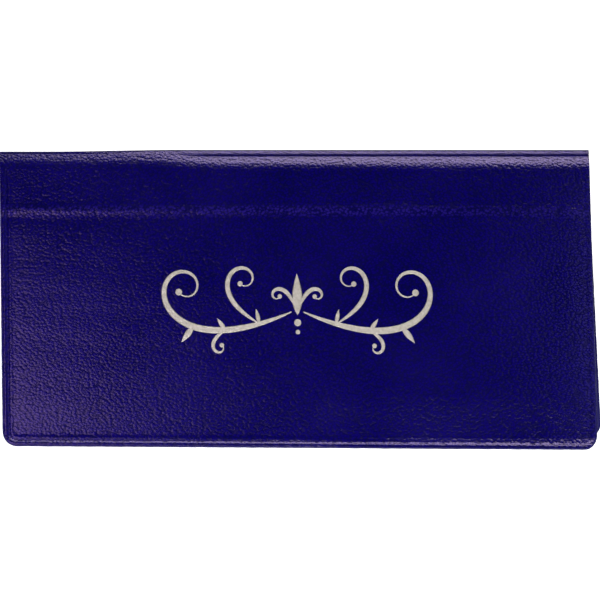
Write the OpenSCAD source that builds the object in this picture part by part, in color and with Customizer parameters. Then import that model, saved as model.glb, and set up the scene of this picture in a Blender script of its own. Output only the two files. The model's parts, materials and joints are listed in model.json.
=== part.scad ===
// Folding vinyl cover for a pad of personal cheques and its register, closed, lying on its rear panel.
// X runs along the fold, Y runs up the cover to the fold, and Z is up from the table, in millimetres.

/* [Cover] */
// Width of the closed cover, along the fold
cover_w = 165; // [150:1:190]
// Depth of the closed cover, from the fold to the free edges
cover_d = 83; // [78:1:100]
// Radius of the rounded corners at the free edges
corner_r = 4; // [3:0.5:8]

/* [Sheets] */
// Thickness of the outer vinyl sheet
outer_t = 0.4; // [0.3:0.05:0.5]
// Thickness of the two pocket sheets
pocket_t = 0.3; // [0.2:0.05:0.4]
// Thickness of the clear flap
flap_t = 0.2; // [0.15:0.05:0.3]
// Free height left between the flap and each pocket sheet, at the free edges
layer_gap = 0.35; // [0.3:0.05:0.6]

/* [Fold] */
// Height of the closed cover at its fold
fold_h = 5.5; // [5:0.1:8]
// Outer radius of the fold's two rounded corners
fold_round = 1.4; // [1.1:0.1:2]
// Width of the crease along the middle of each rounded corner
crease_w = 0.04; // [0.02:0.01:0.1]

/* [Pockets] */
// Depth of the pockets, from the free edge to the mouth
pocket_d = 66; // [55:1:70]
// How far the middle of a pocket's mouth stands off its panel
pocket_gape = 0.9; // [0.4:0.1:1.1]

/* [Heat seal] */
// Width of the melted bead along the welded edges
bead_w = 0.7; // [0.5:0.05:0.9]
// Distance from the edge to the pressed seal line
seal_inset = 1.1; // [1:0.1:2]
// Width of the pressed seal line
seal_w = 0.6; // [0.4:0.1:1]
// Depth of the pressed seal line
seal_depth = 0.12; // [0.05:0.01:0.2]

/* [Duplicate flap] */
// Width of the flap
flap_w = 152; // [140:1:160]
// Distance from the flap's free edge to the cover's free edge
flap_margin = 4; // [3:0.5:12]
// Radius of the flap's free corners
flap_corner_r = 6; // [2:0.5:12]
// Share of the spine's flat height that the flap's welded foot covers
foot_share = 0.8; // [0.5:0.05:0.9]
// Running gap between the foot and the flap's root
flap_play = 0.15; // [0.15:0.01:0.3]

/* [Hidden] */

$fn = 64;
vinyl = [0.055, 0.03, 0.30];
pocket_vinyl = [0.07, 0.045, 0.34];
clear_vinyl = [0.80, 0.86, 0.92, 0.5];
weld_vinyl = [0.10, 0.08, 0.38];

over = 1;
curve_steps = 16;
rows = 10;
corner_rows = 4;

// Two sheets fuse at a weld, so a bead is as thick as both
weld_t = outer_t + pocket_t;
seal_margin = seal_inset + seal_w;
panel_l = cover_d - fold_round;
fold_y = cover_d / 2 - fold_round;

// The panels close to a thin wedge, with the flap on the plane halfway between them
half_stack = weld_t + layer_gap + flap_t / 2;
half_wedge = asin((fold_h / 2 - half_stack) / panel_l);
wedge = 2 * half_wedge;

// The spine stands square to that plane, so the cover turns by the same angle at each rounded corner
turn = 90 + half_wedge;
crease_angle = turn / 2 - 90;
half_crease = crease_w / fold_round * 90 / PI;
spine_l = (fold_h - 2 * fold_round) / cos(half_wedge);
function ray(r, a) = r * [cos(a), sin(a)];
spine_up = ray(1, 90 + half_wedge);
rear_round = [0, fold_round];
front_round = rear_round + spine_l * spine_up;
spine_middle = (rear_round + front_round) / 2;

front_start = front_round + ray(fold_round, 90 + wedge);
front_l = (front_start.x + panel_l) / cos(wedge);

foot_in = fold_round - outer_t - flap_t;
flap_root = foot_in - flap_play;
flap_line = spine_middle + ray(flap_root, half_wedge);
flap_l = flap_root + panel_l - flap_margin;

echo(wedge = wedge, turn = turn);
echo(rear_crease = [fold_y, 0] + rear_round + ray(fold_round, crease_angle));
echo(front_crease = [fold_y, 0] + front_round + ray(fold_round, half_wedge + turn / 2));
echo(flap_line = [fold_y, 0] + flap_line);

// Each panel is drawn flat, outer face down, from the fold at y = 0 to its free edge at y = -l
module on_rear() {
    translate([0, fold_y, 0]) children();
}

module on_front() {
    on_rear() translate([0, front_start.x, front_start.y]) rotate([wedge, 0, 0]) mirror([0, 0, 1]) children();
}

// A rectangle with its two lower corners rounded, drawn in by inset on three sides
module rounded_outline(w, l, r, inset) {
    half = w / 2 - inset;
    round_r = max(r - inset, 0.01);
    translate([-half, inset - l + round_r]) square([2 * half, l - inset - round_r]);
    translate([round_r - half, inset - l]) square([2 * (half - round_r), l - inset]);
    for (side = [-1, 1]) translate([side * (half - round_r), inset - l + round_r]) circle(r = round_r);
}

module seal_line(l) {
    difference() {
        rounded_outline(cover_w, l, corner_r, seal_inset);
        rounded_outline(cover_w, l, corner_r, seal_margin);
    }
}

// Above the pocket's mouth the sheet is alone and runs out to the full width
module panel_sheet(l) {
    difference() {
        linear_extrude(outer_t) {
            rounded_outline(cover_w, l, corner_r, bead_w);
            translate([-cover_w / 2, pocket_d - l]) square([cover_w, l - pocket_d]);
        }
        translate([0, 0, seal_depth - over]) linear_extrude(over) seal_line(l);
    }
}

// The bead's section, from the sheets' cut edge out to its round nose
module bead_section() {
    nose = min(weld_t / 2, bead_w);
    square([bead_w - nose, weld_t]);
    intersection() {
        translate([bead_w - nose, weld_t / 2]) scale([nose / (weld_t / 2), 1]) circle(d = weld_t);
        square([bead_w, weld_t]);
    }
}

module bead_run(length) {
    rotate([90, 0, 0]) linear_extrude(length) bead_section();
}

module edge_bead(l) {
    half = cover_w / 2;
    side_l = pocket_d - corner_r;
    for (side = [0, 1]) mirror([side, 0, 0]) {
        translate([half - bead_w, pocket_d - l, 0]) bead_run(side_l);
        translate([half - corner_r, corner_r - l, 0]) {
            rotate([0, 0, -90]) rotate_extrude(angle = 90) translate([corner_r - bead_w, 0]) bead_section();
            translate([0, bead_w - corner_r, 0]) rotate([0, 0, -90]) bead_run(half - corner_r);
        }
    }
}

// Half the width of a pocket sheet at s millimetres from its free edge, round corners included
function pocket_half(s) =
    let (r = corner_r - bead_w, in = max(r - s, 0))
    cover_w / 2 - bead_w - r + sqrt(r * r - in * in);

// How far a pocket sheet stands off its panel: nothing at the welds, most at the middle of the mouth
function pocket_rise(x, s) =
    let (
        along = max(0, min(1, (s - seal_margin) / (pocket_d - seal_margin))),
        across = min(1, abs(x) / (cover_w / 2 - seal_margin)),
        bow = 1 - across * across
    )
    pocket_gape * bow * bow * along * along * (2 - along);

// Rows run from the free edge, round the corners, past the weld and on to the mouth
pocket_rows = concat(
    [for (i = [0:corner_rows]) (corner_r - bead_w) * (1 - cos(90 * i / corner_rows))],
    [for (i = [1:rows]) corner_r - bead_w + (pocket_d - corner_r) * i / rows]
);

// Columns run from weld to weld, with one extra at each side for the weld itself
function pocket_columns(s) =
    let (half = pocket_half(s), inner = half - seal_margin + bead_w)
    concat([-half], [for (i = [0:curve_steps]) inner * (2 * i / curve_steps - 1)], [half]);

module pocket_sheet(l) {
    n = curve_steps + 3;
    m = len(pocket_rows);
    lower = [
        for (row = pocket_rows) for (x = pocket_columns(row))
            [x, row + bead_w - l, outer_t + pocket_rise(x, row + bead_w)]
    ];
    upper = [for (p = lower) p + [0, 0, pocket_t]];
    count = len(lower);
    cells = [for (i = [0:m - 2]) for (j = [0:n - 2]) i * n + j];
    rim = concat(
        [for (j = [0:n - 2]) [j, j + 1]],
        [for (i = [0:m - 2]) [i * n + n - 1, (i + 1) * n + n - 1]],
        [for (j = [n - 1:-1:1]) [(m - 1) * n + j, (m - 1) * n + j - 1]],
        [for (i = [m - 1:-1:1]) [i * n, (i - 1) * n]]
    );
    polyhedron(
        points = concat(lower, upper),
        faces = concat(
            [for (c = cells) [c, c + 1, c + n + 1]],
            [for (c = cells) [c, c + n + 1, c + n]],
            [for (c = cells) [count + c, count + c + n + 1, count + c + 1]],
            [for (c = cells) [count + c, count + c + n, count + c + n + 1]],
            [for (e = rim) [e[0], count + e[0], count + e[1]]],
            [for (e = rim) [e[0], count + e[1], e[1]]]
        )
    );
}

// The fold's section, with x towards the fold and y up: a wall round the spine and its two rounded corners
module fold_outline(r) {
    for (middle = [rear_round, front_round]) translate(middle) circle(r = r);
    translate(rear_round) rotate(half_wedge) translate([-r, 0]) square([2 * r, spine_l]);
}

module fold_wall(r, t) {
    difference() {
        fold_outline(r);
        fold_outline(r - t);
    }
}

// A piece of the fold as wide as w, with the seal line running on across it near both ends
module fold_piece(w) {
    module across(length) rotate([90, 0, 90]) linear_extrude(length) children();
    difference() {
        translate([-w / 2, 0, 0]) across(w) intersection() {
            fold_wall(fold_round, outer_t);
            children();
        }
        for (x = [seal_inset - w / 2, w / 2 - seal_margin])
            translate([x, 0, 0]) across(seal_w) fold_wall(fold_round + over, over + seal_depth);
    }
}

// A panel with the rounded corner up to its crease
module curled_panel(l) {
    reach = 2 * fold_round;
    panel_sheet(l);
    fold_piece(cover_w) polygon([
        rear_round, rear_round + ray(reach, -90), rear_round + ray(reach, crease_angle - half_crease)
    ]);
}

module rear_cover() color(vinyl) on_rear() curled_panel(panel_l);

module rear_pocket() color(pocket_vinyl) on_rear() pocket_sheet(panel_l);

module rear_edge_bead() color(weld_vinyl) on_rear() edge_bead(panel_l);

// The fold from crease to crease
module spine_strip() color(vinyl) {
    reach = 2 * fold_round;
    on_rear() fold_piece(cover_w) polygon([
        rear_round,
        rear_round + ray(reach, crease_angle + half_crease),
        front_round + ray(reach, half_wedge + turn / 2 - half_crease),
        front_round
    ]);
}

// The flap's own margin, turned and welded along the inside of the spine
module flap_foot() color(clear_vinyl) {
    foot_h = foot_share * spine_l;
    on_rear() translate([0, spine_middle.x, spine_middle.y]) rotate([half_wedge, 0, 0])
        translate([-flap_w / 2, foot_in, -foot_h / 2]) cube([flap_w, flap_t, foot_h]);
}

module duplicate_flap() color(clear_vinyl)
    on_rear() translate([0, flap_line.x, flap_line.y]) rotate([half_wedge, 0, 0])
        translate([0, 0, -flap_t / 2]) linear_extrude(flap_t) rounded_outline(flap_w, flap_l, flap_corner_r, 0);

module front_cover() color(vinyl) on_front() curled_panel(front_l);

module front_pocket() color(pocket_vinyl) on_front() pocket_sheet(front_l);

module front_edge_bead() color(weld_vinyl) on_front() edge_bead(front_l);

rear_cover();
rear_pocket();
rear_edge_bead();
spine_strip();
flap_foot();
duplicate_flap();
front_cover();
front_pocket();
front_edge_bead();
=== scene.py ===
# %% [markdown]
# # A folding vinyl chequebook cover
#
# The cover is one sheet of grained vinyl, folded once over a pad of cheques. A thinner sheet is welded
# inside each half along three edges, which makes two pockets, and a clear flap hangs from the fold between
# them. There is nothing rigid in it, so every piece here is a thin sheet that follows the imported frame.
#
# The frame comes first. It gives the places of the two creases and the size of the flap, and every size
# below is either read from it or is a real size of the sheets, in millimetres turned into metres.

# %% Load the frame
import json
from functools import partial
from math import atan2, cos, degrees, hypot, pi, radians, sin

import bmesh
import bpy
import numpy as np
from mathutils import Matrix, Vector


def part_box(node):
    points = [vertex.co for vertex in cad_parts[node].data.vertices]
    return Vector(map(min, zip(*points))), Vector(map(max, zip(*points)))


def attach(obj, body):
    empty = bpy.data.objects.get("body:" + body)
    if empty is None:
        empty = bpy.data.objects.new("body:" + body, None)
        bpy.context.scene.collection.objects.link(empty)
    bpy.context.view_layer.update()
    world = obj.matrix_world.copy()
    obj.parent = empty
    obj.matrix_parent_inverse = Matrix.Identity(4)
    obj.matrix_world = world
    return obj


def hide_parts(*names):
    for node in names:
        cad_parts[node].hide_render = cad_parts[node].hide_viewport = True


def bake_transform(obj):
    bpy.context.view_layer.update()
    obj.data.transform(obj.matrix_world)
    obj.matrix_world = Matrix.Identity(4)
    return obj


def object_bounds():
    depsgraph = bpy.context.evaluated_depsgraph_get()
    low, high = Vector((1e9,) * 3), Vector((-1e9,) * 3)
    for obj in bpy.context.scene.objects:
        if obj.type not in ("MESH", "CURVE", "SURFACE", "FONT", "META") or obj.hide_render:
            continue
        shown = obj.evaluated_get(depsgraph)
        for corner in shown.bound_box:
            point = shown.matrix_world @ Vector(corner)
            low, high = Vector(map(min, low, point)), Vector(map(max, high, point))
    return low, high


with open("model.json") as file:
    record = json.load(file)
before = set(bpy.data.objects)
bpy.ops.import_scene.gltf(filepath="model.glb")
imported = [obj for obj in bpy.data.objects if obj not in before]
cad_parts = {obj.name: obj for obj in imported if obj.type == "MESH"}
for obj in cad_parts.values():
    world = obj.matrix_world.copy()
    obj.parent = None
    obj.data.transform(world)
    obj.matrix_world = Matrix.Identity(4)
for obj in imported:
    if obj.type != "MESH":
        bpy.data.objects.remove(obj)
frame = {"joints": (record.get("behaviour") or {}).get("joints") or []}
cad_low, cad_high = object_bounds()
MM = 0.001
print("closed size in mm:", [round(s / MM, 2) for s in cad_high - cad_low])

# %% [markdown]
# ## The section that everything follows
#
# Seen from its end, the closed cover is symmetrical about a plane halfway between its panels. The section
# runs from the middle of the spine, round a small rounded corner, and along the panel to the free edge. One
# half is worked out here, and the other half is its mirror image.
#
# It would be possible to model each panel by itself and to bridge the fold afterwards, but then the two
# would have to be matched by hand. A single function from the flat sheet to the folded one keeps them
# joined.

# %% Measure the fold
joints = {joint["name"]: joint for joint in frame["joints"]}
rear_crease = np.array(joints["rear_crease"]["pos_m"][1:])
front_crease = np.array(joints["front_crease"]["pos_m"][1:])

FOLD_ROUND = 1.4 * MM
OUTER_WALL = 0.4 * MM
POCKET_WALL = 0.3 * MM
FLAP_WALL = 0.2 * MM
CORNER = 4 * MM
POCKET_DEPTH = 66 * MM

# The fold's centre is halfway between the centres of its two rounded corners.
tilt = atan2(rear_crease[0] - front_crease[0], front_crease[1] - rear_crease[1])
turn = pi / 2 + tilt
outward = np.array([cos(tilt), sin(tilt)])
upward = np.array([-sin(tilt), cos(tilt)])
fold_centre = (rear_crease + front_crease) / 2 - outward * FOLD_ROUND * cos(turn / 2)
spine_half = hypot(*(front_crease - rear_crease)) / 2 - FOLD_ROUND * sin(turn / 2)

width = cad_high.x - cad_low.x
panel_length = (fold_centre - upward * spine_half)[0] - cad_low.y
arc_end = spine_half + FOLD_ROUND * turn
free_edge = arc_end + panel_length
mouth = free_edge - POCKET_DEPTH
print(f"panel {panel_length / MM:.2f} mm, spine {2 * spine_half / MM:.2f} mm, tilt {degrees(tilt):.2f} deg")


def section(q):
    """The outer face at q metres along the sheet from the middle of the spine, and its outward normal.

    The spine is a straight line FOLD_ROUND away from the fold's centre, the corner is an arc about the
    spine's end, and the panel is the straight line that leaves the arc along its tangent.
    """
    angle = np.clip((q - spine_half) / FOLD_ROUND, 0, turn)
    straight = np.minimum(q, spine_half)
    panel = np.maximum(q - arc_end, 0)
    across = FOLD_ROUND * np.cos(angle) - panel * sin(turn)
    up = straight + FOLD_ROUND * np.sin(angle) + panel * cos(turn)
    return across, up, np.cos(angle), np.sin(angle)


def in_space(x, across, up):
    """Points at x along the fold, from their place in the section: across and up from the fold's centre."""
    y = fold_centre[0] + across * outward[0] + up * upward[0]
    z = fold_centre[1] + across * outward[1] + up * upward[1]
    return np.stack([x, y, z], axis=-1)


# %% [markdown]
# ## How the real one lies
#
# A welded cover is never quite true. Its free edges have slipped to one side, the lower edge runs out of
# square by a millimetre, and the left end of the fold is squeezed lower than the rest. The panels also hold
# soft waves from the packet, and the front dips beside its free edge and rises again at the edge itself.
# These small errors make the difference between a sheet and a slab.
#
# The slips change a point's place on the flat sheet before it is folded, and the waves change its height, so
# every layer of a panel takes the same ones and nothing passes through its neighbour. Opened flat, the front
# lies on the table on its outer face, so its waves stand out by less than half a millimetre.

# %% Slips and waves
FRONT, REAR = 1, -1

# The left and right end of each free edge: how far it slips to the right, and how far away from the fold.
SLIP = {FRONT: (0.6 * MM, 2.75 * MM), REAR: (1.3 * MM, 3.9 * MM)}
DROP = {FRONT: (0.1 * MM, 1.15 * MM), REAR: (-0.8 * MM, -2.3 * MM)}

# The front's dip and rise, as distances from its free edge, and the side edges' bend.
DIP_START, DIP_END, RISE_END = 16 * MM, 3.6 * MM, 0.2 * MM
SIDE_BEND = 7 * MM


def ramp(value, start, end):
    """0 before start, 1 after end, and smooth in between: 3 t^2 - 2 t^3."""
    t = np.clip((value - start) / (end - start), 0, 1)
    return t * t * (3 - 2 * t)


def bump(value, middle, spread):
    """A soft hump of height 1 at middle that falls to 0.37 at a distance of spread: exp(-t^2)."""
    return np.exp(-(((value - middle) / spread) ** 2))


def slipped(side, x, q):
    """The flat sheet's x and q after the slips, which grow evenly from nothing at the fold."""
    down = np.clip((q - arc_end) / panel_length, 0, 1)
    share = x / width + 0.5
    slip, drop = (left + (right - left) * share for left, right in (SLIP[side], DROP[side]))
    return x + down * slip, q + down * drop


def waves(side, x, q):
    """How far a panel stands off its plane.

    The rear has one slow roll, a sine across times a sine down. The front has a pillow that is highest in
    its middle, a roll and fine ripples, a dip and a rise along its free edge that are stronger on the right,
    and side edges that bend down as parabolas.
    """
    down = np.clip((q - arc_end) / panel_length, 0, 1)
    arch = np.sin(pi * down)
    if side == REAR:
        return -0.05 * MM * (1 + np.sin(x / (21 * MM)) * arch)
    pillow = 0.36 * arch**0.8 * np.cos(pi * np.clip(x / (width * 1.04), -0.5, 0.5)) ** 0.7
    roll = 0.05 * np.sin(x / (27 * MM) + 0.6) * arch
    ripple = 0.018 * np.sin(q / (1.9 * MM) + 1.3 * np.sin(x / (22 * MM))) * arch
    dip = -0.35 * ramp(q, free_edge - DIP_START, free_edge - DIP_END)
    rise = 0.75 * ramp(q, free_edge - DIP_END, free_edge - RISE_END)
    curl = (0.4 + 0.6 * ramp(x, -5 * MM, 35 * MM)) * (dip + rise)
    bent = np.clip((np.abs(x) - width / 2) / SIDE_BEND + 1, 0, 1) ** 2
    return (pillow + roll + ripple + curl - (0.2 + 0.1 * np.sign(x)) * bent) * MM


print("the front's ends slip by", [round(s / MM, 2) for s in SLIP[FRONT]], "mm to the right")

# %% [markdown]
# The fold isn't a plain round corner either. The sheet was scored before it was folded, so beside the score
# it runs down to the fold as a narrow flat facet, which is steeper over the right three quarters of the
# cover, where it catches the light.
#
# The facet is worked out as one straight line in section. Over the panel it is a height below the plane, and
# round the corner it is the same line's distance from the corner's centre. A power mean of that distance and
# the corner's own radius rounds off the place where the line meets the spine.

# %% Facet beside the fold
MEAN_POWER = -7.0
SQUEEZE = 0.8 * MM
CALM = 14 * MM


def facet_shape(side, x):
    """The facet's slope, and the distances past the corner at which it starts and stops easing off."""
    if side == REAR:
        return 0.16 + 0 * x, 1.2 * MM, 3.0 * MM
    right = ramp(x, -42 * MM, -20 * MM)
    return 0.23 + 0.055 * right, (1.0 + 0.9 * right) * MM, (4.2 + 0.4 * right) * MM


def facet(side, x, q):
    """The facet's height off the sheet's plane: a straight slope that eases into the panel as a parabola."""
    slope, ease, level = facet_shape(side, x)
    past = np.maximum(q - arc_end, 0)
    easing = np.clip(level - past, 0, level - ease)
    panel = -slope * (np.maximum(ease - past, 0) + easing**2 / (2 * (level - ease)))
    angle = np.clip((q - spine_half) / FOLD_ROUND, 0, turn)
    reach = FOLD_ROUND - slope * (ease + level) / 2
    line = reach / (np.sin(angle) + slope * np.cos(angle))
    rounded = (FOLD_ROUND**MEAN_POWER + line**MEAN_POWER) ** (1 / MEAN_POWER) - FOLD_ROUND
    return np.where(q > arc_end, panel, rounded * ramp(q, spine_half - 0.6 * MM, spine_half))


def squeezed(x, q):
    """The left end of the fold has been squeezed inwards, and stands SQUEEZE behind the rest."""
    return -SQUEEZE * ramp(-x, 32 * MM, 70 * MM) * (1 - ramp(q, 0, arc_end))


def on_cover(side, x, q, height):
    """Points of a half of the cover, from the flat sheet's x and q and a height off its outer face.

    The waves grow from nothing over the stretch CALM beside the fold, which the creases hold straight.
    """
    lying = waves(side, x, q) * ramp(q, arc_end, arc_end + CALM)
    height = height + lying + facet(side, x, q) + squeezed(x, q)
    x, q = slipped(side, x, q)
    across, up, normal_across, normal_up = section(q)
    return in_space(x, across + height * normal_across, side * (up + height * normal_up))


print("the facet's slope at the right end:", round(float(facet_shape(FRONT, width / 2)[0]), 3))

# %% [markdown]
# ## A grid for a sheet with round corners
#
# A plain grid can't turn a round corner, and a grid fine enough for the pressed seam would be far too heavy
# over the whole panel. So a sheet is laid out in patches that share their borders: a grid that is fine only
# near its side edges, a band along the free edge, and a fan round each corner. Where two patches meet they
# have the same points, so they are merged afterwards into one closed skin.
#
# Each patch carries four numbers a point: x and q on the flat sheet, the distance to the nearest cut edge,
# and how far along the seam it lies. The last is for the dotted pattern that the welding bar leaves.

# %% Lay out a sheet
SEAM_IN = 1.45 * MM
FAN_LINES = 19


def lines(*runs):
    """Line positions in metres, from runs of (start, end, step) in millimetres, each run's end left out."""
    steps = [np.linspace(a, b, max(1, round((b - a) / step)), endpoint=False) for a, b, step in runs]
    return np.concatenate([*steps, [runs[-1][1]]]) * MM


def lay_out(half_width, start, end, corner, edge_lines, long_lines, cross_step=1.3 * MM, open_start=False):
    """The patches of a sheet from q = start to its free edge at q = end, as dictionaries of 2-D arrays.

    edge_lines run from the cut edge in to the corner's own radius, and long_lines from start to where the
    corners begin. The sheet's start counts as a cut edge only if open_start is true. The way along the seam
    runs down the left side and up the right one, and round a corner it is measured SEAM_IN from the edge.
    """
    inner = half_width - corner
    turn_in = end - corner
    middle = np.linspace(-inner, inner, 2 * round(inner / cross_step) + 1)
    x_lines = np.concatenate([-half_width + edge_lines[:-1], middle, (half_width - edge_lines[:-1])[::-1]])
    arc = (corner - SEAM_IN) * pi / 2
    seam_end = 2 * (turn_in + arc + inner)

    x, q = np.meshgrid(x_lines, long_lines)
    edge = half_width - np.abs(x)
    if open_start:
        edge = np.minimum(edge, q - start)
    along = np.where(x < 0, q, seam_end - q)
    patches = [dict(x=x, q=q, edge=edge, along=along)]

    x, depth = np.meshgrid(middle, edge_lines)
    patches.append(dict(x=x, q=end - depth, edge=depth, along=turn_in + arc + inner + x))

    angle, depth = np.meshgrid(np.linspace(0, pi / 2, FAN_LINES), edge_lines)
    for side in (-1, 1):
        reach = corner - depth
        along = turn_in + arc * angle / (pi / 2)
        patches.append(dict(
            x=side * (inner + reach * np.cos(angle)), q=turn_in + reach * np.sin(angle), edge=depth,
            along=along if side < 0 else seam_end - along,
        ))
    return patches


# %% [markdown]
# ## From patches to a closed skin
#
# A sheet has two faces and a rounded cut edge. Near the edge the two faces curve towards each other along a
# half circle as wide as the sheet is thick, and they meet at its tip. That closes the skin without a
# separate rim. Only a sheet that goes on in another piece has a flat end, and that end gets a strip of its
# own.
#
# Every point keeps its place on the flat sheet in an attribute. The grain reads that instead of the point's
# place in space, so it bends with the vinyl when the cover opens.

# %% Build a sheet
def cells_of(index):
    """The four corner numbers of each cell of a grid of point numbers."""
    corners = [index[:-1, :-1], index[:-1, 1:], index[1:, 1:], index[1:, :-1]]
    return np.stack(corners, axis=-1).reshape(-1, 4)


def quads(rows, columns, first=0):
    """The cells of a grid whose points are counted row by row, from first."""
    return cells_of(first + np.arange(rows * columns).reshape(rows, columns))


def build_mesh(name, points, faces, attributes):
    """A mesh object with its doubled points merged, its faces turned outwards and smooth shading."""
    mesh = bpy.data.meshes.new(name)
    mesh.from_pydata(points.tolist(), [], faces.tolist())
    for key, values in attributes.items():
        layer = mesh.attributes.new(key, "FLOAT_VECTOR", "POINT")
        layer.data.foreach_set("vector", np.ascontiguousarray(values, np.float32).ravel())
    work = bmesh.new()
    work.from_mesh(mesh)
    bmesh.ops.remove_doubles(work, verts=work.verts, dist=2e-6)
    bmesh.ops.recalc_face_normals(work, faces=work.faces)
    work.to_mesh(mesh)
    work.free()
    mesh.shade_smooth()
    piece = bpy.data.objects.new(name, mesh)
    bpy.context.scene.collection.objects.link(piece)
    print(f"{name}: {len(mesh.vertices)} points, {len(mesh.polygons)} faces")
    return piece


def build_sheet(name, patches, place, wall, relief=None, flat_start=False):
    """A closed sheet: its outer face is at height relief(patch), and its inner face a wall below height 0.

    With e the distance to the cut edge and half of the wall as its reach, both faces stand off the middle
    between them by sqrt(1 - (1 - e / reach)^2) of the full distance, until e passes the reach.
    """
    points, faces, flats, seams, count = [], [], [], [], 0
    for patch in patches:
        x, q, edge = patch["x"], patch["q"], patch["edge"]
        lift = relief(patch) if relief else np.zeros_like(x)
        short = 1 - np.clip(edge / (wall / 2), 0, 1)
        swell = np.sqrt(1 - short**2)
        middle, thick = (lift - wall) / 2, (lift + wall) / 2
        flat = np.stack([x, q, 0 * x], axis=-1).reshape(-1, 3)
        seam = np.stack([patch["along"], np.minimum(edge, CORNER), 0 * x], axis=-1).reshape(-1, 3)
        for face in (1, -1):
            points.append(place(x, q, middle + face * thick * swell).reshape(-1, 3))
            cells = quads(*x.shape, count)
            faces.append(cells if face > 0 else cells[:, ::-1])
            flats.append(flat)
            seams.append(seam)
            count += x.size
    if flat_start:
        columns = patches[0]["x"].shape[1]
        first, second = np.arange(columns), patches[0]["x"].size + np.arange(columns)
        faces.append(np.stack([first[1:], first[:-1], second[:-1], second[1:]], axis=-1))
    attributes = {"flat": np.concatenate(flats), "seam": np.concatenate(seams)}
    return build_mesh(name, np.concatenate(points), np.concatenate(faces), attributes)


# %% [markdown]
# ## The outer vinyl
#
# The welding bar presses a groove into the sheet a little inside its edge, and pushes up a lip on each side
# of it. The front also shows the score along the fold, a ridge where the pocket's mouth presses through from
# inside, and at the left a much fainter line from whatever the pocket holds.
#
# These are all small changes of height, so they are written as sums of humps and ramps. Two skins meet in the
# middle of the spine.

# %% Outer skins
LIP, GROOVE, SECOND_LIP = 0.95 * MM, 1.80 * MM, 2.70 * MM
SCORE = arc_end - 0.12 * MM
RIDGE, HOLLOW = mouth - 0.4 * MM, mouth + 2.2 * MM
INSERT = arc_end + 41.5 * MM
REAR_SINK = 0.07 * MM


def seam_relief(x, q, edge):
    """The welded border in section: a lip, a pressed groove and a second, lower lip, each a hump.

    The bar pressed harder on the left, and the border fades out where it meets the fold.
    """
    lips = 0.10 * bump(edge, LIP, 0.48 * MM) + 0.04 * bump(edge, SECOND_LIP, 0.35 * MM)
    right_edge = ramp(x, width / 2 - CORNER, width / 2 - 2.8 * MM)
    pressed = ramp(q, arc_end + 2 * MM, arc_end + 7 * MM)
    pressed = pressed * (1 - 0.6 * ramp(x, 0, 45 * MM)) * (1 - 0.5 * right_edge)
    return (lips - 0.10 * bump(edge, GROOVE, 0.32 * MM)) * MM * pressed


def front_relief(patch):
    """The front's outer face: the score, the mouth's ridge and the hollow below it, the line and the border.

    All but the border are humps along q. The score fades in from x = -34 to -22 mm and runs on to the right
    end, and the line fades in from x = -20 to -45 mm and runs on to the left end.
    """
    x, q = patch["x"], patch["q"]
    score = -0.32 * ramp(x, -34 * MM, -22 * MM) * bump(q, SCORE, 0.33 * MM)
    step = 0.10 * (bump(q, RIDGE, 1.3 * MM) - 0.5 * bump(q, HOLLOW, 1.4 * MM))
    insert = 0.04 * bump(q, INSERT, 1.1 * MM) * ramp(-x, 20 * MM, 45 * MM)
    return (score + step + insert) * MM + seam_relief(x, q, patch["edge"])


def rear_relief(patch):
    """The rear's outer face: the border, sunk by REAR_SINK, because the rear lies on the table."""
    return seam_relief(patch["x"], patch["q"], patch["edge"]) - REAR_SINK


edge_lines = lines((0, 0.2, 0.04), (0.2, 0.4, 0.1), (0.4, 2.8, 0.1), (2.8, 4.0, 0.3))
fold_lines = lines((0, arc_end / MM + 5, 0.14))[:-1]
mouth_lines = lines((mouth / MM - 4, mouth / MM + 4, 0.35))
panel_lines = np.concatenate([
    fold_lines,
    np.linspace(arc_end + 5 * MM, mouth_lines[0], 7, endpoint=False),
    mouth_lines,
    np.linspace(mouth_lines[-1], free_edge - CORNER, 48)[1:],
])


def outer_skin(side, name, relief):
    """One half of the outer sheet, from the middle of the spine to its free edge."""
    patches = lay_out(width / 2, 0, free_edge, CORNER, edge_lines, panel_lines)
    return build_sheet(name, patches, partial(on_cover, side), OUTER_WALL, relief, flat_start=True)


front_skin = outer_skin(FRONT, "front_outer_vinyl", front_relief)
rear_skin = outer_skin(REAR, "rear_outer_vinyl", rear_relief)

# %% [markdown]
# ## The pockets
#
# Each pocket is a thinner sheet of smooth vinyl, welded to its panel along three edges and open towards the
# fold. Nothing holds the middle of its mouth, so it stands off the panel there and lies flat at the welds.

# %% Pocket sheets
GAPE = 0.9 * MM
WELD = 1.7 * MM

# The pocket's cut edge lies this far inside the outer sheet's.
POCKET_IN = 0.35 * MM
pocket_half = width / 2 - POCKET_IN


def pocket_height(x, q):
    """How far a pocket sheet stands off its panel: a bow across its width that grows towards the mouth.

    It is GAPE (1 - x^2)^2 s^2 (2 - s), with x as a share of the half width and s of the way to the mouth.
    """
    along = np.clip((free_edge - q - WELD) / (free_edge - mouth - WELD), 0, 1)
    bow = 1 - np.minimum(1, np.abs(x) / (width / 2 - WELD)) ** 2
    return GAPE * bow**2 * along**2 * (2 - along)


def on_pocket(side, x, q, height):
    """Points of a pocket sheet, which lies inside the outer sheet's wall and follows it."""
    return on_cover(side, x, q, height - OUTER_WALL - pocket_height(x, q))


def pocket_sheet(side, name):
    """A pocket's sheet, from its mouth to the weld at the free edge."""
    sides = lines((0, 0.15, 0.03), (0.15, 0.6, 0.15), (0.6, 3.65, 0.6))
    mouth_end = mouth + lines((0, 0.15, 0.03), (0.15, 0.6, 0.15), (0.6, 3, 0.6))
    long_lines = np.concatenate([mouth_end, np.linspace(mouth_end[-1], free_edge - CORNER, 50)[1:]])
    end, corner = free_edge - POCKET_IN, CORNER - POCKET_IN
    patches = lay_out(pocket_half, mouth, end, corner, sides, long_lines, open_start=True)
    return build_sheet(name, patches, partial(on_pocket, side), POCKET_WALL)


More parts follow.
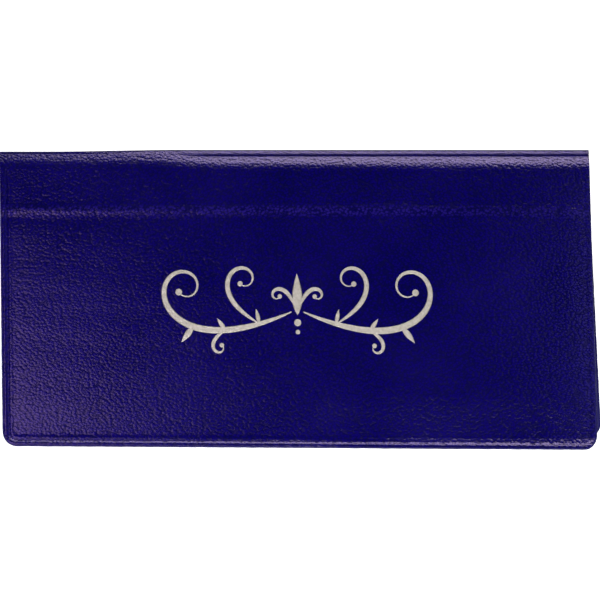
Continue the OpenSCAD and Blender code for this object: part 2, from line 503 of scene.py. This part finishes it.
front_pocket = pocket_sheet(FRONT, "front_pocket_vinyl")
rear_pocket = pocket_sheet(REAR, "rear_pocket_vinyl")

# %% [markdown]
# ## The welded edge
#
# Where the sheets are cut through the weld they melt into one rounded bead. It is a small profile carried
# round three edges: along one side from the mouth, round a corner, along the free edge, and back up. Its
# nose is a half ellipse, and its shoulders sink into the sheets on both faces.

# %% Welded beads
BEAD_IN, SHOULDER, NOSE = 0.5 * MM, 0.38 * MM, 0.3 * MM

# The bead stands out past the cut edge and off both faces, and its inner ends are sunk into the sheets.
BEAD_OUT, PROUD, SUNK = 0.03 * MM, 0.015 * MM, 0.03 * MM
UNEVEN = 0.03 * MM


def bead_path():
    """x, q and the inward direction along three edges of a sheet, mouth to mouth, and the way run so far."""
    half, inner, turn_in = width / 2, width / 2 - CORNER, free_edge - CORNER
    side_q = np.linspace(mouth, turn_in, 200, endpoint=False)
    angle = np.linspace(0, pi / 2, 24, endpoint=False)
    bottom_x = np.linspace(-inner, 0, 160, endpoint=False)
    x = np.concatenate([np.full(side_q.size, -half), -inner - CORNER * np.cos(angle), bottom_x])
    q = np.concatenate([side_q, turn_in + CORNER * np.sin(angle), np.full(bottom_x.size, free_edge)])
    in_x = np.concatenate([np.ones(side_q.size), np.cos(angle), np.zeros(bottom_x.size)])
    in_q = np.concatenate([np.zeros(side_q.size), -np.sin(angle), -np.ones(bottom_x.size)])
    x, q = np.concatenate([x, [0], -x[::-1]]), np.concatenate([q, [free_edge], q[::-1]])
    in_x, in_q = np.concatenate([in_x, [0], -in_x[::-1]]), np.concatenate([in_q, [-1], in_q[::-1]])
    run = np.concatenate([[0], np.cumsum(np.hypot(np.diff(x), np.diff(q)))])
    return x, q, in_x, in_q, run


def welded_edge(side, name):
    """The bead: a closed profile of depth from the edge and height, carried along the edge's path.

    The nose has the depth NOSE (1 - cos a) and half the weld's thickness times sin a as its height. Two
    sines of different length, multiplied, make it slightly uneven. Each end is closed by a strip of cells
    between the profile's outer and inner half.
    """
    x, q, in_x, in_q, run = bead_path()
    nose = np.linspace(-pi / 2, pi / 2, 16)
    half_wall = (OUTER_WALL + POCKET_WALL) / 2
    depth = np.concatenate([[BEAD_IN, SHOULDER], NOSE * (1 - np.cos(nose)), [SHOULDER, BEAD_IN]])
    height = np.concatenate([[-1, -1], np.sin(nose), [1, 1]]) * half_wall - half_wall
    outer = height > -half_wall
    depth, run_grid = np.meshgrid(depth, run)
    height = np.broadcast_to(height, depth.shape)
    uneven = UNEVEN * np.sin(run_grid / (2.3 * MM)) * np.sin(run_grid / (0.9 * MM) + 1)
    lift = seam_relief(x[:, None], q[:, None], depth) + PROUD - (REAR_SINK if side == REAR else 0)
    melt = np.where(outer, lift, -PROUD)
    sink = np.where(depth == BEAD_IN, -SUNK, 0) * np.where(outer, 1, -1)
    depth = depth - BEAD_OUT + uneven * (depth < 0.2 * MM)
    flat_x = x[:, None] + in_x[:, None] * depth
    flat_q = q[:, None] + in_q[:, None] * depth
    points = on_cover(side, flat_x, flat_q, height + melt + sink)

    around = np.arange(depth.size).reshape(depth.shape)
    wrapped = np.concatenate([around, around[:, :1]], axis=1)
    half = depth.shape[1] // 2
    near, far = around[:, :half], around[:, ::-1][:, :half]
    caps = [cells_of(np.stack([near[row], far[row]])) for row in (0, -1)]
    flat = np.stack([flat_x, flat_q, depth], axis=-1).reshape(-1, 3)
    seam = np.stack([run_grid, depth, 0 * depth], axis=-1).reshape(-1, 3)
    faces = np.concatenate([cells_of(wrapped), *caps])
    return build_mesh(name, points.reshape(-1, 3), faces, {"flat": flat, "seam": seam})


front_bead = welded_edge(FRONT, "front_welded_edge")
rear_bead = welded_edge(REAR, "rear_welded_edge")

# %% [markdown]
# ## The clear flap
#
# The flap keeps a written cheque from marking the next one. It is a single clear sheet: a narrow foot is
# welded flat against the inside of the spine, and the rest turns away from it through a tight bend.

# %% Clear flap
FOOT = 1.1 * MM
FOOT_GAP = 0.02 * MM
BEND = 0.35 * MM
FLAP_CORNER = 6 * MM
flap_low, flap_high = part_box("duplicate_flap")
flap_half = (flap_high.x - flap_low.x) / 2
foot_face = FOLD_ROUND - OUTER_WALL - FOOT_GAP
bend_end = FOOT + BEND * pi / 2


def on_flap(x, q, height):
    """The flap's sheet: up the inside of the spine, round a quarter circle, and away along the middle plane.

    A sine across times a sine along, which grows away from the fold, gives it one slow wave.
    """
    angle = np.clip((q - FOOT) / BEND, 0, pi / 2)
    up = np.minimum(q - FOOT, 0) - BEND * (1 - np.sin(angle)) + height * np.sin(angle)
    across = foot_face - BEND * (1 - np.cos(angle)) - np.maximum(q - bend_end, 0) + height * np.cos(angle)
    away = np.clip((q - bend_end) / (60 * MM), 0, 1)
    wave = 0.1 * MM * np.sin(x / (23 * MM) + 1) * np.sin(q / (14 * MM)) * away
    up = up + wave + FLAP_WALL / 2 * np.sin(angle)
    return in_space(x, across + squeezed(x, 0) * (1 - away), up)


flap_end = bend_end + (foot_face - BEND) + (fold_centre[0] - flap_low.y) / cos(tilt)
flap_sides = lines((0, 0.1, 0.025), (0.1, FLAP_CORNER / MM, 0.6))
flap_lines = np.concatenate([
    lines((0, 0.1, 0.025), (0.1, FOOT / MM + 3, 0.08)),
    np.linspace(FOOT + 3 * MM, flap_end - FLAP_CORNER, 60)[1:],
])
flap_patches = lay_out(flap_half, 0, flap_end, FLAP_CORNER, flap_sides, flap_lines, open_start=True)
flap = build_sheet("clear_flap", flap_patches, on_flap, FLAP_WALL)

# %% [markdown]
# ## A stamped ornament
#
# The front carries an ornament in gold foil, pressed into the grain with a hot die, which leaves a film far
# thinner than paper. Here the motif is a plain printer's flourish: a pointed leaf over two dots, and to
# either side of it four tendrils that wind up into balls, with three small leaves.
#
# A tendril could be drawn as a curve through points set by hand. It is worked out from its heading instead,
# which turns slowly at the root and ever faster towards the tip, so the curl comes out even. Its stroke
# swells in the middle like one drawn with a broad pen. The grid is two-dimensional: along the stroke and
# across it.

# %% Foil flourish
FOIL = 0.02 * MM
FOIL_RISE = 0.006 * MM
ORNAMENT_Q = arc_end + 42 * MM
TENDRIL_POINTS, LEAF_POINTS, DISC_POINTS = 200, 60, 33


def stroke(centre, broad, columns=7):
    """A ribbon along centre, an array of (x, y), with the width broad at each point, as patch arrays."""
    step = np.gradient(centre, axis=0)
    step = step / np.linalg.norm(step, axis=1)[:, None]
    normal = np.stack([-step[:, 1], step[:, 0]], axis=1)
    share = np.linspace(-0.5, 0.5, columns)
    grid = centre[:, None, :] + normal[:, None, :] * (broad[:, None] * share)[:, :, None]
    return grid[:, :, 0], grid[:, :, 1], np.broadcast_to(share, grid.shape[:2])


def tendril(root, heading, length, bend, wind, power, broadest):
    """A curl from its root: its heading in degrees at s of the way is heading + bend * s + wind * s**power.

    A high power keeps the first part nearly straight and winds up the end. The stroke swells as a power of
    sin(pi s**0.75). Sizes are in millimetres.
    """
    s = np.linspace(0, 1, TENDRIL_POINTS)
    angle = np.radians(heading + bend * s + wind * s**power)
    steps = np.stack([np.cumsum(np.cos(angle)), np.cumsum(np.sin(angle))], axis=1)
    path = steps * length / (TENDRIL_POINTS - 1)
    return path - path[0] + np.array(root), broadest * (0.16 + 0.84 * np.sin(pi * s**0.75) ** 1.2)


def leaf(root, heading, length, broadest):
    """A pointed leaf: a straight path whose stroke swells as sin(pi s**0.8)."""
    s = np.linspace(0, 1, LEAF_POINTS)
    path = np.array(root) + np.outer(s * length, [cos(radians(heading)), sin(radians(heading))])
    return path, broadest * np.sin(pi * s**0.8) + 0.02


def disc(middle, radius):
    """A round dot, as a grid of circles: x = r cos a and y = r sin a, and its share across is r / 2."""
    r, a = np.meshgrid(np.linspace(0, 1, 6), np.linspace(0, 2 * pi, DISC_POINTS))
    return middle[0] + radius * r * np.cos(a), middle[1] + radius * r * np.sin(a), r / 2


def foil_patches():
    """Every stroke of the flourish, as (x, y, share across) in millimetres, with y up towards the fold."""
    stem = tendril((1.6, -1.6), -24, 64, 48, 390, 3.6, 1.9)
    first, second, third = (stem[0][point] for point in (30, 60, 88))
    tendrils_and_balls = (
        (stem, 0.95),
        (tendril(first, 30, 31, 45, 330, 2.8, 1.4), 0.75),
        (tendril(second, -36, 11.5, 10, -300, 2.4, 1.1), 0.65),
        (tendril((0.6, 0), 62, 12.5, 15, -330, 2.6, 1.2), 0.65),
    )
    leaves = (leaf(first, 78, 4.2, 1.2), leaf(second, 55, 4.0, 1.2), leaf(third, -52, 5.6, 1.7))
    found = [stroke(*leaf((0, -2.4), 90, 11.5, 2.9)), disc((0, -4.6), 1.0), disc((0, -7.2), 0.65)]
    for side in (-1, 1):
        mirror = np.array([side, 1])
        for (path, broad), ball in tendrils_and_balls:
            found.append(stroke(path * mirror, broad))
            found.append(disc(path[-1] * mirror, ball))
        for path, broad in leaves:
            found.append(stroke(path * mirror, broad))
    return found


def foil_flourish(name):
    """Each stroke is a thin lens in the surface, of height FOIL sqrt(1 - s^2) with s from edge to edge.

    A disc closes all round like that. A ribbon also thins out to nothing over its first and last two steps.
    """
    points, faces, flats, count = [], [], [], 0
    for x, y, share in foil_patches():
        x, q = x * MM, ORNAMENT_Q - y * MM
        relief = front_relief(dict(x=x, q=q, edge=CORNER + 0 * x)) + FOIL_RISE
        dome = FOIL * np.sqrt(np.clip(1 - (2 * share) ** 2, 0, 1))
        if len(x) != DISC_POINTS:
            from_start = np.arange(len(x))
            dome = dome * np.minimum(1, np.minimum(from_start, from_start[::-1]) / 2)[:, None]
        for face in (dome, -dome):
            points.append(on_cover(FRONT, x, q, relief + face).reshape(-1, 3))
            faces.append(quads(*x.shape, count))
            flats.append(np.stack([x, q, 0 * x], axis=-1).reshape(-1, 3))
            count += x.size
    return build_mesh(name, np.concatenate(points), np.concatenate(faces), {"flat": np.concatenate(flats)})


foil = foil_flourish("foil_flourish")

# %% [markdown]
# ## Materials
#
# The vinyls and the foil share one set of helpers. A material is a small graph of nodes: something that
# makes a pattern, something that turns it into height or colour, and the Principled shader at the end.
#
# The grain is made of pebbles about two thirds of a millimetre across, a little wider than tall, which a
# Voronoi pattern gives directly. Its coordinates are bent by noise first, because real embossing has no
# regular cells.

# %% Node helpers
def new_material(name):
    """An empty material, its nodes and its shader."""
    material = bpy.data.materials.new(name)
    material.use_nodes = True
    return material, material.node_tree, material.node_tree.nodes["Principled BSDF"]


def feed(tree, socket, value):
    """Link the socket to value if that is a socket too, and otherwise set it to value."""
    if isinstance(value, bpy.types.NodeSocket):
        tree.links.new(value, socket)
    else:
        socket.default_value = value


def fill(tree, node, **inputs):
    """Feed a node's inputs, each by its name with _ for a space, or by i and its number."""
    for key, value in inputs.items():
        by_number = key[0] == "i" and key[1:].isdigit()
        feed(tree, node.inputs[int(key[1:]) if by_number else key.replace("_", " ")], value)


def add(tree, kind, settings=None, **inputs):
    """A new node of the given kind, with its settings made and its inputs filled."""
    made = tree.nodes.new(kind)
    for key, value in (settings or {}).items():
        setattr(made, key, value)
    fill(tree, made, **inputs)
    return made


def sums(tree, operation, a, b):
    """a and b added, subtracted or multiplied, or the larger of the two."""
    return add(tree, "ShaderNodeMath", {"operation": operation}, i0=a, i1=b).outputs[0]


def spread(tree, value, low, high, start, end):
    """Value carried over from the range low to high to the range start to end, and held at both its ends."""
    return add(tree, "ShaderNodeMapRange", Value=value, i1=low, i2=high, i3=start, i4=end).outputs[0]


def arched(tree, value, middle, reach):
    """1 where value is middle, falling as a parabola to 0 at reach on either side of it."""
    off = sums(tree, "MULTIPLY", sums(tree, "SUBTRACT", value, middle), 1 / reach)
    return sums(tree, "MAXIMUM", sums(tree, "SUBTRACT", 1.0, sums(tree, "MULTIPLY", off, off)), 0.0)


def noise(tree, place, scale, detail):
    """A cloudy pattern of about 0 to 1, with scale clouds to the metre."""
    return add(tree, "ShaderNodeTexNoise", Vector=place, Scale=scale, Detail=detail).outputs["Fac"]


def normal_from(tree, height, strength, distance):
    """The surface's normal, bent as if it stood out by height times distance in metres."""
    return add(tree, "ShaderNodeBump", Height=height, Strength=strength, Distance=distance).outputs[0]


def flat_place(tree, key="flat"):
    """Each point's own place on the flat sheet, which stays with the vinyl as it bends."""
    return add(tree, "ShaderNodeAttribute", {"attribute_name": key}).outputs["Vector"]


def parts_of(tree, vector):
    """The three numbers of a vector."""
    return add(tree, "ShaderNodeSeparateXYZ", Vector=vector).outputs


def colour_between(tree, share, first, second):
    """The colour at a share of the way from first to second."""
    mixed = add(tree, "ShaderNodeMix", {"data_type": "RGBA"})
    for name, value in (("Factor", share), ("A", first), ("B", second)):
        feed(tree, [s for s in mixed.inputs if s.name == name and s.enabled][0], value)
    return [s for s in mixed.outputs if s.enabled][0]


# %% [markdown]
# ### Grained vinyl
#
# The height is the pebbles plus a finer noise on top of them. The dotted line of the welding bar is added as
# height too: short dashes every 0.9 mm along the seam, kept to the bottom of the pressed groove. The grain
# stands out a little more beside the right edge.
#
# The pebbles' tops are painted lighter than the pits between them, as painted highlight and shade of the
# grain, and the pits are made a little rougher. On the ridge over the pocket's mouth the tops are painted
# paler still, most of all at the left, as a painted highlight where that ridge catches the light. All this
# could be a picture laid over the sheet, but a pattern worked out from the place on the sheet stays sharp
# close up and needs no file.

# %% Grained vinyl
# Between NAVY and NAVY_LIGHT the vinyl varies at random, and its pebbles' tops are painted lighter and its
# pits darker, as painted highlight and shade of the grain.
NAVY = (0.0001, 0.0001, 0.032, 1)
NAVY_LIGHT = (0.0026, 0.0006, 0.092, 1)
# A paler navy, painted on the ridge over the pocket's mouth as a painted highlight.
RIDGE_HIGHLIGHT = (0.011, 0.006, 0.112, 1)
VIOLET_SHINE = (0.78, 0.62, 1.0, 1)
PEBBLE, DASH = 0.66 * MM, 0.9 * MM


def pebbles(tree, place, cell):
    """A height of up to 1: rounded pebbles about cell metres across, wider than tall.

    It is 1 - 2 d^2, with d the distance to the nearest pebble's middle as a share of cell.
    """
    bend = add(tree, "ShaderNodeTexNoise", Vector=place, Scale=0.6 / cell, Detail=2.0).outputs["Color"]
    offset = add(tree, "ShaderNodeVectorMath", {"operation": "SCALE"}, i0=bend, Scale=cell * 0.5).outputs[0]
    moved = add(tree, "ShaderNodeVectorMath", {"operation": "ADD"}, i0=place, i1=offset).outputs[0]
    wide = add(tree, "ShaderNodeMapping", Vector=moved, Scale=(0.8, 1, 1)).outputs[0]
    away = add(tree, "ShaderNodeTexVoronoi", Vector=wide, Scale=1 / cell).outputs["Distance"]
    return sums(tree, "SUBTRACT", 1.0, sums(tree, "MULTIPLY", sums(tree, "MULTIPLY", away, away), 2.0))


def grained_vinyl():
    """Navy vinyl with a leather grain, the welding bar's dots and a painted highlight on the ridge over the
    pocket's mouth.
    """
    material, tree, shader = new_material("grained_navy_vinyl")
    place = flat_place(tree)
    across, down, _ = parts_of(tree, place)
    grain = pebbles(tree, place, PEBBLE)
    clouds = noise(tree, place, 38.0, 4.0)

    along_seam, from_edge, _ = parts_of(tree, flat_place(tree, "seam"))
    turns = sums(tree, "MULTIPLY", along_seam, 2 * pi / DASH)
    dash = add(tree, "ShaderNodeMath", {"operation": "SINE"}, i0=turns).outputs[0]
    dots = sums(tree, "MULTIPLY", dash, arched(tree, from_edge, GROOVE, 0.35 * MM))
    fine = sums(tree, "MULTIPLY", noise(tree, place, 3200.0, 3.0), 0.25)
    height = sums(tree, "ADD", sums(tree, "ADD", grain, fine), sums(tree, "MULTIPLY", dots, 0.3))
    deep = spread(tree, across, 52 * MM, 80 * MM, 0.43, 0.6)

    # Painted highlight and shade: the pebbles' tops are made lighter and the pits darker.
    painted_top_light = spread(tree, grain, 0.3, 1.0, -0.3, 1.0)
    tone = sums(tree, "ADD", sums(tree, "MULTIPLY", clouds, 0.5), sums(tree, "MULTIPLY", painted_top_light, 0.6))
    # Painted highlight along the ridge over the pocket's mouth, strongest at the left.
    ridge_highlight_mask = arched(tree, down, mouth - 0.1 * MM, 1.7 * MM)
    ridge_highlight_mask = sums(tree, "MULTIPLY", ridge_highlight_mask, spread(tree, across, 10 * MM, 80 * MM, 0.95, 0.45))
    painted_ridge_highlight = sums(tree, "MULTIPLY", ridge_highlight_mask, sums(tree, "ADD", painted_top_light, 0.15))
    colour = colour_between(tree, painted_ridge_highlight, colour_between(tree, tone, NAVY, NAVY_LIGHT), RIDGE_HIGHLIGHT)

    pits = spread(tree, grain, 0.1, 0.9, 0.06, 0.0)
    worn = spread(tree, clouds, 0.3, 0.7, 0.15, 0.20)
    fill(tree, shader, Base_Color=colour, Roughness=sums(tree, "ADD", pits, worn),
         Normal=normal_from(tree, height, deep, 0.058 * MM),
         Specular_IOR_Level=0.30, Specular_Tint=VIOLET_SHINE)
    return material


vinyl = grained_vinyl()
print(f"{vinyl.name}: {len(vinyl.node_tree.nodes)} nodes, pebbles of {PEBBLE / MM:.2f} mm")

# %% [markdown]
# ### The other finishes
#
# The pocket vinyl is the same navy without the grain. The bead was molten, so it has no grain either, only
# soft waves. The flap lets light through and keeps a slight blue cast. The foil is a thin, partly metallic
# film over the grain, which shows through it as small bumps.

# %% Plain, fused and clear vinyl, and foil
FOIL_DARK, FOIL_LIGHT = (0.21, 0.19, 0.15, 1), (0.57, 0.54, 0.47, 1)


def plain_vinyl(name, light, dark, rough, cell, depth, shine):
    """Smooth vinyl: one noise, with clouds about cell across, gives both its tone and its soft waves."""
    material, tree, shader = new_material(name)
    soft = noise(tree, flat_place(tree), 1 / cell, 4.0)
    fill(tree, shader, Base_Color=colour_between(tree, soft, dark, light),
         Normal=normal_from(tree, soft, 0.7, depth), Roughness=rough, Specular_IOR_Level=shine)
    return material


def clear_vinyl():
    """A clear, slightly wavy sheet that bends light as vinyl does."""
    material, tree, shader = new_material("clear_flap_vinyl")
    slow = noise(tree, flat_place(tree), 40.0, 2.0)
    fill(tree, shader, Normal=normal_from(tree, slow, 0.3, 0.2 * MM), Base_Color=(0.90, 0.94, 0.98, 1),
         Roughness=0.09, IOR=1.53, Transmission_Weight=1.0)
    return material


def gold_foil():
    """A dull gold film, worn in small patches, over pebbles a little smaller than the vinyl's own."""
    material, tree, shader = new_material("pressed_gold_foil")
    place = flat_place(tree)
    worn = noise(tree, place, 900.0, 4.0)
    normal = normal_from(tree, pebbles(tree, place, 0.55 * MM), 0.8, 0.03 * MM)
    fill(tree, shader, Base_Color=colour_between(tree, worn, FOIL_DARK, FOIL_LIGHT), Normal=normal,
         Metallic=0.35, Roughness=0.36)
    return material


pocket_vinyl = plain_vinyl(
    "smooth_pocket_vinyl", light=(0.005, 0.002, 0.10, 1), dark=(0.002, 0.001, 0.065, 1),
    rough=0.36, cell=1.6 * MM, depth=0.05 * MM, shine=0.45,
)
fused_vinyl = plain_vinyl(
    "fused_edge_vinyl", light=(0.006, 0.004, 0.09, 1), dark=(0.002, 0.001, 0.05, 1),
    rough=0.38, cell=0.7 * MM, depth=0.06 * MM, shine=0.15,
)
clear = clear_vinyl()
gold = gold_foil()

for piece, material in (
    (front_skin, vinyl), (rear_skin, vinyl), (front_pocket, pocket_vinyl), (rear_pocket, pocket_vinyl),
    (front_bead, fused_vinyl), (rear_bead, fused_vinyl), (flap, clear), (foil, gold),
):
    piece.data.materials.append(material)
    print(f"{piece.name} has {material.name}")

# %% [markdown]
# ## What moves with what
#
# The pockets, beads and foil are fixed to a panel and ride on it. The two outer skins and the flap cross a
# crease; here they stay where they were built, with their places baked into their points, and follow no body.


for piece, body, slot, node in (
    (front_pocket, "front", "pocket_vinyl", "front_pocket"),
    (rear_pocket, "rear", "pocket_vinyl", "rear_pocket"),
    (front_bead, "front", "fused_vinyl", "front_edge_bead"),
    (rear_bead, "rear", "fused_vinyl", "rear_edge_bead"),
    (foil, "front", None, None),
):
    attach(piece, body)
    if node:
        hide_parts(node)

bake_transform(rear_skin)
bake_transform(front_skin)
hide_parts("rear_cover", "spine_strip")
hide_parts("front_cover")

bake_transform(flap)
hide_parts("duplicate_flap", "flap_foot")

# %% [markdown]
# ## Table, light and camera
#
# The cover lies on a white table and is seen from straight above. A long soft light beyond the fold makes
# the pale line along it. One at the lower left lifts the grain there, a very weak one at the right does the
# same beside that edge, and one low in front brightens the lips of the lower seam. The studio's walls shine
# dimly from low down only, so the flat vinyl mirrors very little and keeps its deep colour.
#
# The table glows by itself, but only for rays that look at it, so that it is white and still takes shadows.
# The glow rises with the distance from the cover, to make up for the lamps' falling light.

# %% Table
TABLE = 1.5
TABLE_GAP = 0.1 * MM


def looking(tree):
    """1 for a ray from the camera, also through clear vinyl, and 0 for one that has bounced off a surface."""
    rays = add(tree, "ShaderNodeLightPath").outputs
    return sums(tree, "MAXIMUM", rays["Is Camera Ray"], rays["Is Transmission Ray"])


def white_table():
    """A white surface whose own light reaches only rays that look at it, so that its shadows still show."""
    material, tree, shader = new_material("white_table")
    fill(tree, shader, Base_Color=(0.8, 0.8, 0.8, 1), Roughness=0.9)
    place = add(tree, "ShaderNodeTexCoord").outputs["Object"]
    away = add(tree, "ShaderNodeVectorMath", {"operation": "LENGTH"}, i0=place).outputs["Value"]
    level = spread(tree, away, 0.2, 0.6, 0.68, 1.0)
    strength = sums(tree, "MULTIPLY", looking(tree), level)
    glow = add(tree, "ShaderNodeEmission", Color=(1, 1, 1, 1), Strength=strength)
    both = add(tree, "ShaderNodeAddShader", i0=shader.outputs[0], i1=glow.outputs[0])
    fill(tree, tree.nodes["Material Output"], Surface=both.outputs[0])
    return material


corners = np.array([[-1, -1, 0], [1, -1, 0], [1, 1, 0], [-1, 1, 0]]) * TABLE - [0, 0, TABLE_GAP]
table = build_mesh("table", corners, np.array([[0, 1, 2, 3]]), {})
table.data.materials.append(white_table())

# %% Studio
VIOLET, COOL, WHITE = (0.88, 0.70, 1.0), (0.8, 0.85, 1.0), (1, 1, 1)


def soft_light(name, place, aim, size, power, colour):
    """A rectangular lamp at place that shines towards aim and that no camera sees."""
    data = bpy.data.lights.new(name, "AREA")
    data.shape = "RECTANGLE"
    data.size, data.size_y = size
    data.energy = power
    data.color = colour
    lamp = bpy.data.objects.new(name, data)
    lamp.location = place
    lamp.rotation_euler = (Vector(aim) - Vector(place)).to_track_quat("-Z", "Y").to_euler()
    lamp.visible_camera = False
    bpy.context.scene.collection.objects.link(lamp)
    print(f"{name}: {power} W")


soft_light("light_beyond_fold", (0.12, 0.45, 0.66), (0.02, 0, 0), (0.6, 0.2), 5.8, WHITE)
soft_light("light_lower_left", (-0.175, -0.125, 0.42), (-0.06, -0.03, 0), (0.15, 0.12), 0.42, VIOLET)
soft_light("light_right", (0.25, -0.07, 0.45), (0.06, 0, 0), (0.08, 0.20), 0.09, COOL)
soft_light("light_front", (0.02, -0.20, 0.20), (0, 0, 0), (0.24, 0.07), 0.85, WHITE)


def dim_studio(name):
    """A world that is white to look at, and whose light comes only from dim walls low down."""
    world = bpy.data.worlds.new(name)
    world.use_nodes = True
    tree = world.node_tree
    seen = looking(tree)
    _, _, height = parts_of(tree, add(tree, "ShaderNodeTexCoord").outputs["Generated"])
    walls = spread(tree, height, 0.25, 0.60, 0.45, 0.0)
    unseen = sums(tree, "MULTIPLY", walls, sums(tree, "SUBTRACT", 1.0, seen))
    fill(tree, tree.nodes["Background"], Strength=sums(tree, "ADD", unseen, seen), Color=(1, 1, 1, 1))
    return world


bpy.context.scene.world = dim_studio("studio")

# %% Camera
CAMERA_HEIGHT = 0.75
FACE_HEIGHT = 4 * MM
PICTURE_PIXELS = 600
PIXELS_PER_MM = 3.57
SENSOR = 36
camera_data = bpy.data.cameras.new("camera")
camera_data.sensor_width = SENSOR
camera_data.lens = SENSOR * (CAMERA_HEIGHT - FACE_HEIGHT) / (PICTURE_PIXELS / PIXELS_PER_MM * MM)
camera = bpy.data.objects.new("camera", camera_data)
camera.location = (1.6 * MM, -0.6 * MM, CAMERA_HEIGHT)
bpy.context.scene.collection.objects.link(camera)
bpy.context.scene.camera = camera
bpy.context.scene.view_settings.view_transform = "Standard"
print(f"lens {camera_data.lens:.1f} mm")
